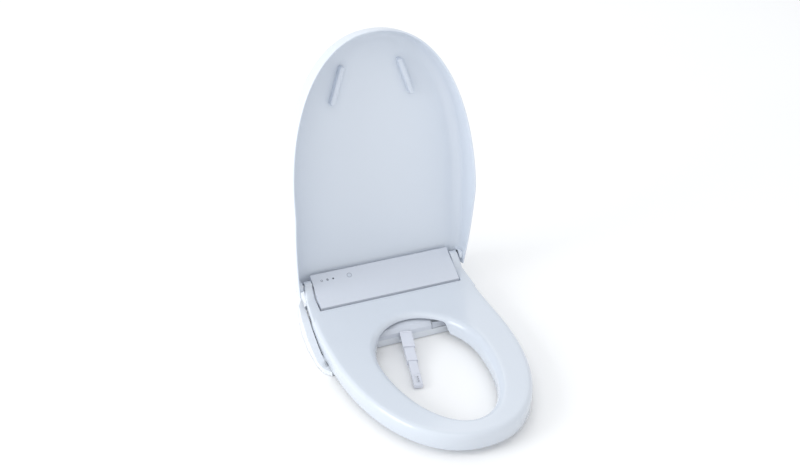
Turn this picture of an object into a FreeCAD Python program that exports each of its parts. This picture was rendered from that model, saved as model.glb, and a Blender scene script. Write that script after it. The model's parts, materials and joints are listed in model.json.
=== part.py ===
"""Electric bidet seat with a lid, a heated seat, a wash unit and a bowl base plate.

Millimetres, +Z up. The origin is midway between the two bowl bolt holes, on the
underside that rests on the bowl. The front of the seat points to -Y. The lid stands
open, the seat is down and the wash wand is out, and every joint is at rest like that.
"""
import FreeCAD, Part
import math
import os
import re

import Sketcher

Vector = FreeCAD.Vector
Placement = FreeCAD.Placement
Rotation = FreeCAD.Rotation
ALONG_X = Rotation(Vector(0, 1, 0), 90)
ALONG_Y = Rotation(Vector(1, 0, 0), -90)
REACH = 400.0  # longer than the object in any direction, for tools that cut right through

DIMENSIONS = {
    # hinge line shared by the lid and the seat
    "hinge_y": -40.4, "hinge_z": 71.0, "lid_open": 101.64, "pin_radius": 3.0,
    "shaft_radius": 1.9, "running_gap": 0.08,
    # lid outline, seen from above with the lid closed
    "lid_half": 168.0, "lid_mid_y": -188.6, "lid_front_y": -483.0, "lid_power": 2.2,
    "lid_rear_half": 159.5, "lid_rear_y": -24.0, "lid_rear_power": 2.2,
    "lid_wall": 3.0, "lid_round": 21.0,
    # inner panel of the closed lid: its height at the front, and its slope
    "lid_panel_z": 53.2, "lid_slope": 4.58, "lid_rim_z": 11.9,
    "lid_rim_y": -186.7, "lid_rim_rise": 0.307,
    # lid buffers
    "buffer_long": 60.0, "buffer_wide": 9.0, "buffer_tall": 12.0,
    "buffer_x": 62.0, "buffer_y": -392.0, "buffer_turn": 19.0,
    # seat outline and section
    "seat_half": 158.7, "seat_mid_y": -201.8, "seat_front_y": -475.75, "seat_power": 2.2,
    "seat_rear_half": 147.8, "seat_rear_y": -34.0, "seat_rear_power": 2.19,
    "seat_top": 41.5, "seat_bottom": 13.0, "seat_wall": 3.4, "seat_round": 8.5,
    "seat_back_y": -92.0, "seat_back_top": 49.6, "ramp_y": -172.0,
    "seat_raised_z": 33.5, "seat_raised_y": -180.0, "seat_raised_half": 138.0,
    # opening of the seat: two half ellipses
    "opening_half": 89.3, "opening_mid_y": -262.4, "opening_front_y": -434.5,
    "opening_rear_y": -150.0, "opening_round": 12.0,
    "bumper_long": 32.0, "bumper_wide": 12.0,
    # wash unit
    "case_half": 132.7, "case_rear_y": 57.0, "case_z": 1.0, "split_z": 14.0,
    "case_wall": 2.8, "nose_half": 100.0, "nose_y": -168.0, "nose_top": 31.0,
    "panel_y": -88.5, "panel_z": 51.6, "ridge_y": -29.2, "ridge_z": 84.0,
    "slot_z": 47.0, "deck_y": -11.0, "deck_z": 91.0,
    "ear_inner": 134.7, "rib_inner": 151.6, "rib_outer": 158.4,
    # base plate and its recess
    "plate_half": 100.0, "plate_deep": 88.0, "plate_floor": 5.0, "plate_tall": 10.6,
    "bolt_spacing": 140.0, "bolt_radius": 4.5, "bushing_radius": 9.0,
    "recess_z": 11.0, "recess_y": -47.0,
    # wand, in its own frame: +Y points back into the unit, the origin is at the port
    "wand_x": -6.0, "wand_y": -165.0, "wand_z": 14.5, "wand_turn": -13.3, "wand_dip": 3.56,
    "outer_wide": 18.0, "outer_tall": 11.0, "outer_out": 75.0, "outer_in": 45.0,
    "inner_wide": 15.0, "inner_tall": 8.4, "inner_out": 60.0, "inner_in": 42.0,
    "tip_long": 27.0, "nozzle_radius": 1.1, "roller_radius": 6.0, "roller_y": 38.0,
    "guard_wide": 21.0, "guard_long": 38.0, "guard_thick": 2.0,
    # air path
    "duct_x": 45.0, "duct_wide": 30.0, "duct_z": 14.4, "duct_tall": 12.4, "duct_wall": 1.5,
    "blower_x": 48.0, "blower_wide": 24.0, "blower_radius": 24.0, "blower_y": 25.0,
    "blower_z": 40.0, "impeller_radius": 20.0,
    # connections at the rear
    "inlet_x": -110.0, "inlet_z": 27.0, "inlet_radius": 10.4, "inlet_long": 14.0,
}

doc = FreeCAD.newDocument("BidetSeat")
sheet = doc.addObject("Spreadsheet::Sheet", "Dims")
for row, (alias, value) in enumerate(DIMENSIONS.items(), start=1):
    sheet.set(f"A{row}", alias)
    sheet.set(f"B{row}", str(value))
    sheet.setAlias(f"B{row}", alias)
doc.recompute()

nodes = []


def dim(alias):
    """The value of one driving dimension, read from the sheet."""
    return float(sheet.get(alias))


def bind(thing, prop, formula):
    """Tie a property to a formula of sheet aliases."""
    text = re.sub(r"[a-z]+(?:_[a-z]+)+", lambda word: f"Dims.{word.group()}", str(formula))
    thing.setExpression(prop, text)


def move(thing, at):
    """Bind the three coordinates of a primitive's place."""
    for axis, formula in zip("xyz", at):
        bind(thing, f"Placement.Base.{axis}", formula)
    return thing


def box(name, size, at, turn=None):
    """A block from its size and its lowest corner, both given as formulas."""
    solid = doc.addObject("Part::Box", name)
    for prop, formula in zip(("Length", "Width", "Height"), size):
        bind(solid, prop, formula)
    if turn is not None:
        solid.Placement = Placement(Vector(), turn)
    return move(solid, at)


def cylinder(name, radius, height, at, turn=None):
    """A cylinder that starts at a point and runs along Z, or along another axis."""
    solid = doc.addObject("Part::Cylinder", name)
    bind(solid, "Radius", radius)
    bind(solid, "Height", height)
    if turn is not None:
        solid.Placement = Placement(Vector(), turn)
    return move(solid, at)


def fuse(name, *parts):
    """Join several solids."""
    joined = doc.addObject("Part::MultiFuse", name)
    joined.Shapes = list(parts)
    return joined


def cut(name, base, *tools):
    """Take one or more tools away from a base."""
    result = doc.addObject("Part::Cut", name)
    result.Base = base
    result.Tool = tools[0] if len(tools) == 1 else fuse(name + "_tools", *tools)
    return result


def node(label, thing, place=None):
    """Name a finished sub-part, so that it is checked and exported."""
    thing.Label = label
    if place is not None:
        thing.Placement = place
    nodes.append(thing)
    return thing


def feature(label, shape, place=None):
    """A finished sub-part whose shape comes from Part's own functions."""
    thing = doc.addObject("Part::Feature", label)
    thing.Shape = shape
    return node(label, thing, place)


def yz_prism(points, low_x, high_x):
    """A polygon in the YZ plane, pulled from one X to another."""
    corners = [Vector(low_x, y, z) for y, z in points]
    face = Part.Face(Part.makePolygon(corners + corners[:1]))
    return face.extrude(Vector(high_x - low_x, 0, 0))


def block(low, high):
    """A block between two opposite corners."""
    size = [b - a for a, b in zip(low, high)]
    return Part.makeBox(*size, Vector(*low))


def rod(radius, start, end):
    """A cylinder between two points."""
    start, end = Vector(*start), Vector(*end)
    return Part.makeCylinder(radius, (end - start).Length, start, end - start)


def outline_face(prefix, inset, rear_y):
    """A rounded outline with a superellipse front and slowly narrowing sides, as a face."""
    half = dim(prefix + "_half") - inset
    mid_y = dim(prefix + "_mid_y")
    front_y = dim(prefix + "_front_y") + inset
    taper = dim(prefix + "_half") - dim(prefix + "_rear_half")
    rear_span = dim(prefix + "_rear_y") - mid_y
    side = []
    for step in range(5):
        y = rear_y + (mid_y - rear_y) * step / 5
        narrowing = taper * ((y - mid_y) / rear_span) ** dim(prefix + "_rear_power")
        side.append(Vector(half - narrowing, y, 0))
    for step in range(10):
        turn = math.radians(90) * step / 10
        x = half * math.cos(turn) ** (2 / dim(prefix + "_power"))
        y = mid_y + (front_y - mid_y) * math.sin(turn) ** (2 / dim(prefix + "_power"))
        side.append(Vector(x, y, 0))
    mirrored = [Vector(-point.x, point.y, 0) for point in reversed(side)]
    curve = Part.BSplineCurve()
    curve.interpolate(side + [Vector(0, front_y, 0)] + mirrored)
    closing = Part.makeLine(mirrored[-1], side[0])
    return Part.Face(Part.Wire([curve.toShape(), closing]))


def opening_prism(grow, low_z, high_z):
    """The seat's opening, made of a front and a rear half ellipse, as a solid."""
    minor = dim("opening_half") + grow
    middle = Vector(0, dim("opening_mid_y"), low_z)
    front = middle.y - dim("opening_front_y") + grow
    rear = dim("opening_rear_y") - middle.y + grow
    halves = []
    for major, side in ((front, -1), (rear, 1)):
        tip = middle + Vector(0, side * major, 0)
        ellipse = Part.Ellipse(tip, middle + Vector(minor, 0, 0), middle)
        whole = ellipse.toShape()
        half_space = block((-REACH, middle.y if side > 0 else -2 * REACH, low_z - 1),
                           (REACH, 2 * REACH if side > 0 else middle.y, low_z + 1))
        halves.append(Part.Face(Part.Wire(whole)).common(half_space))
    face = halves[0].fuse(halves[1]).removeSplitter()
    return face.extrude(Vector(0, 0, high_z - low_z))


# ---------------------------------------------------------------- lid

OPENED = Placement(Vector(), Rotation(Vector(1, 0, 0), -dim("lid_open")),
                   Vector(0, dim("hinge_y"), dim("hinge_z")))


def panel_height(y):
    """Height of the closed lid's inner panel at a given Y."""
    return dim("lid_panel_z") + (y - dim("lid_front_y")) * math.tan(math.radians(dim("lid_slope")))


def lid_block(inset, rise, radius):
    """The closed lid's outer or inner volume, rounded along its top edge."""
    rear_y = 20.0
    prism = outline_face("lid", inset, rear_y).extrude(Vector(0, 0, 200))
    under = yz_prism([(-600, -10), (-600, panel_height(-600) + rise),
                      (100, panel_height(100) + rise), (100, -10)], -REACH, REACH)
    volume = prism.common(under)
    rounded = []
    for edge in volume.Edges:
        middle = edge.valueAt((edge.FirstParameter + edge.LastParameter) / 2)
        on_top = abs(middle.z - panel_height(middle.y) - rise) < 0.01
        if on_top and edge.BoundBox.YLength > 1:
            rounded.append(edge)
    return volume.makeFillet(radius, rounded)


def lid_shape():
    """The lid in its closed place: a skirted shell with two hinge arms."""
    wall = dim("lid_wall")
    outer = lid_block(0, wall, dim("lid_round"))
    shell = outer.cut(lid_block(wall, 0, dim("lid_round") - wall))
    hinge = (dim("hinge_y"), dim("hinge_z"))
    for side in (-1, 1):
        low, high = sorted((side * dim("rib_inner"), side * dim("rib_outer")))
        web = block((low, hinge[0] - 10, hinge[1]), (high, hinge[0] + 10, hinge[1] + 14))
        knuckle = rod(9, (low, *hinge), (high, *hinge))
        shell = shell.fuse(web.fuse(knuckle).common(outer))
    slope = dim("lid_rim_rise")
    rim = [(-600, -20), (-600, dim("lid_rim_z")), (dim("lid_rim_y"), dim("lid_rim_z")),
           (30, dim("lid_rim_z") + slope * (30 - dim("lid_rim_y"))), (30, -20)]
    knuckles = rod(9, (-REACH, *hinge), (REACH, *hinge))
    shell = shell.cut(yz_prism(rim, -REACH, REACH).cut(knuckles))
    shell = shell.cut(block((-REACH, dim("lid_rear_y"), -20), (REACH, 60, 200)))
    left_bore = rod(dim("pin_radius") + dim("running_gap"), (-170, *hinge), (-140, *hinge))
    right_bore = rod(dim("shaft_radius"), (140, *hinge), (dim("rib_outer"), *hinge))
    return shell.cut(left_bore).cut(right_bore)


feature("lid_shell", lid_shape(), OPENED)
feature("lid_hinge_shaft",
        rod(dim("shaft_radius"), (58, dim("hinge_y"), dim("hinge_z")),
            (dim("rib_outer"), dim("hinge_y"), dim("hinge_z"))), OPENED)

for name, side in (("left", -1), ("right", 1)):
    bar = box(f"buffer_bar_{name}", ("buffer_wide", "buffer_long", "buffer_tall"),
              ("-buffer_wide / 2", "-buffer_long / 2", "-buffer_tall"))
    ends = [cylinder(f"buffer_end_{name}_{at}", "buffer_wide / 2", "buffer_tall",
                     ("0", f"{at} * buffer_long / 2", "-buffer_tall")) for at in (-1, 1)]
    lies = Rotation(Vector(1, 0, 0), dim("lid_slope"))
    turned = Rotation(Vector(0, 0, 1), side * -dim("buffer_turn"))
    on_panel = Placement(Vector(side * dim("buffer_x"), dim("buffer_y"),
                                panel_height(dim("buffer_y"))), lies * turned)
    node(f"lid_buffer_{name}", fuse(f"lid_buffer_{name}", bar, *ends), OPENED * on_panel)

# ---------------------------------------------------------------- seat


def seat_volume(inset, drop, low_z, back_y):
    """The seat's outer or inner volume: a flat top that ramps up towards the hinge."""
    top, back_top = dim("seat_top") - drop, dim("seat_back_top") - drop
    ramp_y, span = dim("ramp_y"), dim("seat_back_y") - dim("ramp_y")
    rise = back_top - top
    half_rise = rise * ((span / 2) / span) ** 2
    start = Vector(-REACH, ramp_y, top)
    middle = Vector(-REACH, ramp_y + span / 2, top + half_rise)
    end = Vector(-REACH, dim("seat_back_y"), back_top)
    edges = [Part.makeLine(Vector(-REACH, -2 * REACH, top), start),
             Part.Arc(start, middle, end).toShape(),
             Part.makeLine(end, Vector(-REACH, dim("seat_back_y"), low_z)),
             Part.makeLine(Vector(-REACH, dim("seat_back_y"), low_z),
                           Vector(-REACH, -2 * REACH, low_z)),
             Part.makeLine(Vector(-REACH, -2 * REACH, low_z), Vector(-REACH, -2 * REACH, top))]
    section = Part.Face(Part.Wire(edges)).extrude(Vector(2 * REACH, 0, 0))
    prism = outline_face("seat", inset, back_y).extrude(Vector(0, 0, 100))
    return section.common(prism)


def top_edges(volume, surface):
    """Edges that lie on the seat's top surface and are not across its back."""
    found = []
    for edge in volume.Edges:
        middle = edge.valueAt((edge.FirstParameter + edge.LastParameter) / 2)
        flat = abs(middle.z - surface) < 0.01 and middle.y < dim("ramp_y")
        ramp = middle.z > surface + 0.2 and edge.BoundBox.YLength > 40
        across = edge.BoundBox.YLength < 0.1
        if (flat or ramp) and not across:
            found.append(edge)
    return found


def ear_shape(side):
    """One arm that carries the seat to the hinge line, beside the wash unit."""
    hinge_y, hinge_z = dim("hinge_y"), dim("hinge_z")
    profile = [(-112, 34), (-112, 45.5), (dim("seat_back_y"), dim("seat_back_top")), (-64, 56),
               (hinge_y - 6.5, hinge_z + 5), (hinge_y + 7, hinge_z - 4.5), (-60, 44), (-80, 34)]
    inner = side * dim("ear_inner")
    arm = yz_prism(profile, inner, side * 170)
    knuckle = rod(8.4, (inner, hinge_y, hinge_z), (side * 148, hinge_y, hinge_z))
    within = outline_face("seat", 0, dim("seat_rear_y") + 12).extrude(Vector(0, 0, 120))
    return arm.fuse(knuckle).common(within)


def raised_zone(grow):
    """Space under the rear of the seat that is left for the wash unit."""
    half = dim("seat_raised_half") + grow
    return block((-half, dim("seat_raised_y") - grow, -20), (half, 0, dim("seat_raised_z") + grow))


SEAT_CAVITY = seat_volume(dim("seat_wall"), dim("seat_wall"), dim("seat_bottom"),
                          dim("seat_rear_y"))
SEAT_CAVITY = SEAT_CAVITY.cut(opening_prism(6.5, -20, 120))
SEAT_CAVITY = SEAT_CAVITY.common(block((-REACH, -2 * REACH, 0),
                                       (REACH, dim("seat_back_y") - dim("seat_wall"), 100)))


def seat_top_shape():
    """The seat's upper shell: the top skin, the skirts and the two hinge arms."""
    outer = seat_volume(0, 0, dim("seat_bottom"), dim("seat_rear_y"))
    outer = outer.makeFillet(dim("seat_round"), top_edges(outer, dim("seat_top")))
    ring = outer.cut(opening_prism(0, -20, 120))
    inner_rim = [edge for edge in ring.Edges
                 if edge.BoundBox.XMax < dim("opening_half") + 1
                 and edge.BoundBox.XMin > -dim("opening_half") - 1
                 and edge.BoundBox.ZMin > dim("seat_top") - 1]
    ring = ring.makeFillet(dim("opening_round"), inner_rim)
    ring = ring.cut(SEAT_CAVITY).cut(raised_zone(0))
    hinge = (dim("hinge_y"), dim("hinge_z"))
    for side in (-1, 1):
        ring = ring.fuse(ear_shape(side))
    left_bore = rod(dim("pin_radius") + dim("running_gap"), (-170, *hinge), (-100, *hinge))
    right_bore = rod(dim("pin_radius") + 0.2, (100, *hinge), (170, *hinge))
    return ring.cut(left_bore).cut(right_bore)


def seat_bottom_shape():
    """The closing plate under the seat, stepped up where the wash unit sits."""
    floor = dim("seat_bottom") + 1.0
    plate = block((-REACH, -2 * REACH, floor), (REACH, 0, floor + 3)).cut(raised_zone(3))
    step = raised_zone(3).cut(raised_zone(0)).cut(block((-REACH, -REACH, -30), (REACH, 0, floor)))
    closing = SEAT_CAVITY.common(plate.fuse(step))
    return closing.cut(ear_shape(-1)).cut(ear_shape(1))


feature("seat_top_shell", seat_top_shape())
feature("seat_bottom_shell", seat_bottom_shape())

foil_top = dim("seat_top") - dim("seat_wall")
feature("seat_heater_foil",
        SEAT_CAVITY.common(block((-REACH, -2 * REACH, foil_top - 0.8),
                                 (REACH, dim("seat_raised_y") - 6, foil_top))))
node("seat_thermistor", box("seat_thermistor", ("8", "14", "3"),
                            ("120", "-262", "seat_top - seat_wall - 3.8")))
hinge_point = Vector(0, dim("hinge_y"), dim("hinge_z"))
sleeve = rod(dim("pin_radius") + 0.2, hinge_point + Vector(99, 0, 0), hinge_point + Vector(147.5, 0, 0))
sleeve_bore = rod(dim("shaft_radius") + dim("running_gap"), hinge_point + Vector(98, 0, 0),
                  hinge_point + Vector(149, 0, 0))
feature("seat_hinge_sleeve", sleeve.cut(sleeve_bore))

BUMPER_PLACES = {"front_left": (-66, -425, -28), "front_right": (66, -425, 28),
                 "middle_left": (-124, -222, 88), "middle_right": (124, -222, 92)}
for name, (x, y, turn) in BUMPER_PLACES.items():
    pad = box(f"bumper_pad_{name}", ("bumper_long", "bumper_wide", "seat_bottom + 1"),
              ("-bumper_long / 2", "-bumper_wide / 2", "0"))
    ends = [cylinder(f"bumper_end_{name}_{at}", "bumper_wide / 2", "seat_bottom + 1",
                     (f"{at} * bumper_long / 2", "0", "0")) for at in (-1, 1)]
    node(f"seat_bumper_{name}", fuse(f"seat_bumper_{name}", pad, *ends),
         Placement(Vector(x, y, 0), Rotation(Vector(0, 0, 1), turn)))

# ---------------------------------------------------------------- wash unit shells

REAR_PROFILE = [(dim("panel_y"), dim("split_z")), (dim("panel_y"), dim("panel_z")),
                (dim("ridge_y"), dim("ridge_z")), (dim("ridge_y"), dim("slot_z")),
                (dim("deck_y"), dim("slot_z")), (dim("deck_y"), dim("deck_z")),
                (dim("case_rear_y") - 6, dim("deck_z") + 1), (dim("case_rear_y"), dim("deck_z") - 6),
                (dim("case_rear_y"), dim("split_z"))]
NOSE_PROFILE = [(dim("nose_y") + 1.5, dim("split_z")), (dim("nose_y") + 3, 21),
                (dim("nose_y") + 9, 27.5), (dim("nose_y") + 26, dim("nose_top")),
                (dim("panel_y") + 4, dim("nose_top")), (dim("panel_y") + 4, dim("split_z"))]
WAND_PLACE = Placement(Vector(dim("wand_x"), dim("wand_y"), dim("wand_z")),
                       Rotation(dim("wand_turn"), 0, dim("wand_dip")))


def inset_prism(profile, half, wall):
    """A hollow for a profile: the same outline, drawn in by the wall and open below."""
    corners = [Vector(0, y, z) for y, z in profile]
    face = Part.Face(Part.makePolygon(corners + corners[:1])).makeOffset2D(-wall, 2)
    inner = face.extrude(Vector(2 * (half - wall), 0, 0))
    inner.translate(Vector(wall - half, 0, 0))
    low_y, high_y = inner.BoundBox.YMin, inner.BoundBox.YMax
    return inner.fuse(block((wall - half, low_y, -5), (half - wall, high_y, dim("split_z") + wall)))


def placed(shape, place):
    """A copy of a shape, moved to a place."""
    moved = shape.copy()
    moved.Placement = place.multiply(moved.Placement)
    return moved


def wand_port(grow):
    """The passage that the wand goes through, as a solid in the unit's frame."""
    half_wide, half_tall = dim("outer_wide") / 2 + grow, dim("outer_tall") / 2 + grow
    return placed(block((-half_wide, -20, -half_tall), (half_wide, 12, half_tall)), WAND_PLACE)


def duct_port(grow, front_y, rear_y):
    """The passage of the warm-air duct, as a solid."""
    x, z = dim("duct_x"), dim("duct_z")
    return block((x - grow, front_y, z - grow),
                 (x + dim("duct_wide") + grow, rear_y, z + dim("duct_tall") + grow))


BOSS_PLACES = [(side * 126, y) for side in (-1, 1) for y in (-76, 46)]
KNOB_POINT = (30.0, 25.0)
BUTTON_LOW, BUTTON_HIGH = (12.0, 34.0), (30.0, 44.0)
CARTRIDGE_LOW, CARTRIDGE_HIGH = (4.0, 72.5), (42.0, 83.0)
PANEL_TILT = math.atan2(dim("ridge_z") - dim("panel_z"), dim("ridge_y") - dim("panel_y"))
LENS_PLACES = {"indicator_lens_power": (-115.2, 2.6), "indicator_lens_seat": (-104.4, 2.6),
               "indicator_lens_energy": (-93.8, 1.9), "remote_sensor_window": (-63.3, 5.0)}


def panel_disc(x, radius, depth):
    """A disc set square into the sloping panel, just below the ridge."""
    along = 0.78
    y = dim("panel_y") + along * (dim("ridge_y") - dim("panel_y"))
    z = dim("panel_z") + along * (dim("ridge_z") - dim("panel_z"))
    normal = Vector(0, -math.sin(PANEL_TILT), math.cos(PANEL_TILT))
    return Part.makeCylinder(radius, depth, Vector(x, y, z) - normal * depth, normal)


def top_cover_shape():
    """The unit's upper shell: nose, sloping panel, lid slot and rear deck."""
    half, wall = dim("case_half"), dim("case_wall")
    cover = yz_prism(REAR_PROFILE, -half, half)
    cover = cover.fuse(yz_prism(NOSE_PROFILE, -dim("nose_half"), dim("nose_half")))
    cover = cover.removeSplitter()
    hollow = inset_prism(REAR_PROFILE, half, wall)
    nose_back = [(y + (20 if y > dim("panel_y") else 0), z) for y, z in NOSE_PROFILE]
    hollow = hollow.fuse(inset_prism(nose_back, dim("nose_half"), wall))
    cover = cover.cut(hollow)
    for x, y in BOSS_PLACES:
        boss = rod(5, (x, y, dim("split_z")), (x, y, 34))
        cover = cover.fuse(boss.common(yz_prism(REAR_PROFILE, -half, half)))
        cover = cover.cut(rod(1.8, (x, y, 0), (x, y, 26)))
    hinge = (dim("hinge_y"), dim("hinge_z"))
    cover = cover.cut(rod(dim("pin_radius"), (-160, *hinge), (-120, *hinge)))
    cover = cover.cut(rod(dim("pin_radius") + 0.3, (120, *hinge), (160, *hinge)))
    cover = cover.cut(rod(4.6, (57, *hinge), (half - wall, *hinge)))
    cover = cover.cut(wand_port(0.6)).cut(duct_port(0.5, dim("nose_y") - 5, dim("nose_y") + 24))
    cover = cover.cut(rod(6.2, (120, *KNOB_POINT), (140, *KNOB_POINT)))
    cover = cover.cut(block((120, *BUTTON_LOW), (140, *BUTTON_HIGH)))
    cover = cover.cut(block((-140, *CARTRIDGE_LOW), (-120, *CARTRIDGE_HIGH)))
    rear = dim("case_rear_y")
    cover = cover.cut(rod(6, (dim("inlet_x"), rear - 10, dim("inlet_z")),
                          (dim("inlet_x"), rear + 5, dim("inlet_z"))))
    cover = cover.cut(rod(5, (110, rear - 10, dim("inlet_z")), (110, rear + 5, dim("inlet_z"))))
    for x, radius in LENS_PLACES.values():
        cover = cover.cut(panel_disc(x, radius, 6))
    return cover


def base_case_shape():
    """The unit's lower tray, with a recess below that takes the base plate."""
    half, wall, low, high = dim("case_half"), dim("case_wall"), dim("case_z"), dim("split_z")
    rear, nose_y, nose = dim("case_rear_y"), dim("nose_y"), dim("nose_half")
    tray = block((-half, dim("panel_y"), low), (half, rear, high))
    tray = tray.fuse(block((-nose, nose_y + 1.5, low), (nose, dim("panel_y") + 2, high)))
    tray = tray.removeSplitter()
    tray = tray.cut(block((wall - half, dim("panel_y") + wall, low + wall),
                          (half - wall, rear - wall, high + 5)))
    tray = tray.cut(block((wall - nose, nose_y + 1.5 + wall, low + wall),
                          (nose - wall, dim("panel_y") + 10, high + 5)))
    plate_half = dim("plate_half") + 0.4
    over = block((-plate_half - wall, dim("recess_y") - wall, low),
                 (plate_half + wall, rear, dim("recess_z") + wall))
    tray = tray.fuse(over)
    tray = tray.cut(block((-plate_half, dim("recess_y"), -5), (plate_half, rear + 5, dim("recess_z"))))
    for x, y in BOSS_PLACES:
        tray = tray.cut(rod(1.8, (x, y, 0), (x, y, 20))).cut(rod(3.6, (x, y, 0), (x, y, low + 1.8)))
    return tray.cut(wand_port(0.6)).cut(duct_port(0.5, nose_y - 5, nose_y + 12))


def side_housing_shape():
    """The hollow side housing that tapers forward beside the seat."""
    plan = [(-dim("case_half"), -12), (-148, -24), (-160, -46), (-167.5, -84), (-172, -128),
            (-172.3, -176), (-168, -200), (-158, -212), (-146, -208), (-140, -150),
            (-dim("case_half"), -84)]
    section = [(0, 1), (0, 37), (-60, 37), (-88, 34), (-150, 17.5), (-186, 9.5), (-230, 9.5), (-230, 1)]
    tools = []
    for inset, drop in ((0, 0), (2.6, 2.6)):
        middle = Vector(-153, -110, 0)
        points = []
        for x, y in plan:
            inward = middle - Vector(x, y, 0)
            inward = Vector(math.copysign(min(inset, abs(inward.x)), inward.x),
                            math.copysign(min(inset, abs(inward.y)), inward.y), 0)
            points.append(Vector(x, y, 0) + inward)
        prism = Part.Face(Part.makePolygon(points + points[:1])).extrude(Vector(0, 0, 60))
        profile = [(y, z - drop if z > 1 else 1 - drop) for y, z in section]
        tools.append(prism.common(yz_prism(profile, -200, -100)))
    housing = tools[0].cut(tools[1])
    seat_room = outline_face("seat", -1.6, 20).extrude(Vector(0, 0, 60))
    seat_room = seat_room.common(block((-REACH, -REACH, dim("seat_bottom") - 1.5), (0, 20, 60)))
    hinge_room = block((-REACH, -REACH, dim("seat_bottom") - 1.5), (-dim("case_half"), 20, 60))
    return housing.cut(seat_room.common(hinge_room))


feature("top_cover", top_cover_shape())
feature("base_case", base_case_shape())
feature("side_housing", side_housing_shape())
for name, (x, radius) in LENS_PLACES.items():
    feature(name, panel_disc(x, radius, dim("case_wall")))

screws = []
for x, y in BOSS_PLACES:
    shank = rod(1.8, (x, y, dim("case_z") + 0.4), (x, y, 24))
    screws.append(shank.fuse(rod(3.5, (x, y, dim("case_z") + 0.2), (x, y, dim("case_z") + 1.8))))
feature("case_screws", Part.makeCompound(screws))
for name, x in (("left", -86), ("right", 70)):
    node(f"case_foot_{name}", box(f"case_foot_{name}", ("16", "30", "case_z"), (x, "-135", "0")))

node("left_hinge_pin", cylinder("left_hinge_pin", "pin_radius", "32", ("-156", "hinge_y", "hinge_z"), ALONG_X))
for name, bore, start, length in (("lid_damper", "shaft_radius", 60, 36),
                                  ("seat_damper", "pin_radius + 0.2", 98, 31)):
    body = cylinder(f"{name}_body", "4.3", str(length), (str(start), "hinge_y", "hinge_z"), ALONG_X)
    hole = cylinder(f"{name}_bore", f"{bore} + running_gap", str(length + 2),
                    (str(start - 1), "hinge_y", "hinge_z"), ALONG_X)
    node(name, cut(name, body, hole))

# ---------------------------------------------------------------- base plate

plate = doc.addObject("PartDesign::Body", "base_plate")


def plane_of(body, role):
    """One of a body's own origin planes."""
    return next(item for item in body.Origin.OriginFeatures if item.Role == role)


def rectangle(sketch, width, depth, x, y):
    """A rectangle whose four sides are held by constraints tied to the sheet."""
    first = sketch.GeometryCount
    corners = [Vector(0, 0, 0), Vector(10, 0, 0), Vector(10, 10, 0), Vector(0, 10, 0)]
    for index in range(4):
        sketch.addGeometry(Part.LineSegment(corners[index], corners[(index + 1) % 4]), False)
    for index in range(4):
        sketch.addConstraint(Sketcher.Constraint("Coincident", first + index, 2,
                                                 first + (index + 1) % 4, 1))
    for index, kind in enumerate(("Horizontal", "Vertical", "Horizontal", "Vertical")):
        sketch.addConstraint(Sketcher.Constraint(kind, first + index))
    sizes = (("DistanceX", (first, 1, first, 2), width), ("DistanceY", (first + 1, 1, first + 1, 2), depth),
             ("DistanceX", (-1, 1, first, 1), x), ("DistanceY", (-1, 1, first, 1), y))
    for kind, ends, formula in sizes:
        number = sketch.addConstraint(Sketcher.Constraint(kind, *ends, 10.0))
        bind(sketch, f"Constraints[{number}]", formula)


def pad_of(body, name, sketch, length):
    """A pad of a sketch, straight up."""
    pad = body.newObject("PartDesign::Pad", name)
    pad.Profile = sketch
    bind(pad, "Length", length)
    return pad


def sketch_on(body, name, height="0"):
    """A sketch on the body's XY plane, lifted to a height."""
    sketch = body.newObject("Sketcher::SketchObject", name)
    sketch.AttachmentSupport = [(plane_of(body, "XY_Plane"), "")]
    sketch.MapMode = "FlatFace"
    bind(sketch, "AttachmentOffset.Base.z", height)
    return sketch


slab_sketch = sketch_on(plate, "plate_outline")
rectangle(slab_sketch, "2 * plate_half", "plate_deep", "-plate_half", "-plate_deep / 2")
slab = pad_of(plate, "plate_slab", slab_sketch, "plate_tall")
doc.recompute()
tray_sketch = sketch_on(plate, "plate_trays", "plate_tall")
rectangle(tray_sketch, "plate_half - 36", "plate_deep - 16", "30", "8 - plate_deep / 2")
rectangle(tray_sketch, "plate_half - 36", "plate_deep - 16", "6 - plate_half", "8 - plate_deep / 2")
trays = plate.newObject("PartDesign::Pocket", "plate_tray_pocket")
trays.Profile = tray_sketch
bind(trays, "Length", "plate_tall - plate_floor")
doc.recompute()


def holes_sketch(body, name, height, radius):
    """Two circles on the bolt line."""
    sketch = sketch_on(body, name, height)
    for index, side in enumerate((-1, 1)):
        sketch.addGeometry(Part.Circle(Vector(side * 60, 0, 0), Vector(0, 0, 1), 5), False)
        across = sketch.addConstraint(Sketcher.Constraint("DistanceX", -1, 1, index, 3, side * 60.0))
        bind(sketch, f"Constraints[{across}]", f"{side} * bolt_spacing / 2")
        sketch.addConstraint(Sketcher.Constraint("PointOnObject", index, 3, -1))
        size = sketch.addConstraint(Sketcher.Constraint("Radius", index, 5.0))
        bind(sketch, f"Constraints[{size}]", radius)
    return sketch


bolt_holes = plate.newObject("PartDesign::Pocket", "plate_bolt_holes")
bolt_holes.Profile = holes_sketch(plate, "plate_holes", "plate_floor", "bushing_radius")
bind(bolt_holes, "Length", "plate_floor + 1")
doc.recompute()
plate.Tip = bolt_holes
node("base_plate", plate)
bushings = []
for side in (-1, 1):
    outer = cylinder(f"bushing_outer_{side + 1}", "bushing_radius", "plate_floor",
                     (f"{side} * bolt_spacing / 2", "0", "0"))
    inner = cylinder(f"bushing_bore_{side + 1}", "bolt_radius", "plate_floor + 2",
                     (f"{side} * bolt_spacing / 2", "0", "-1"))
    bushings.append(cut(f"bushing_{side + 1}", outer, inner))
node("bolt_bushings", fuse("bolt_bushings", *bushings))

# ---------------------------------------------------------------- wand

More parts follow.
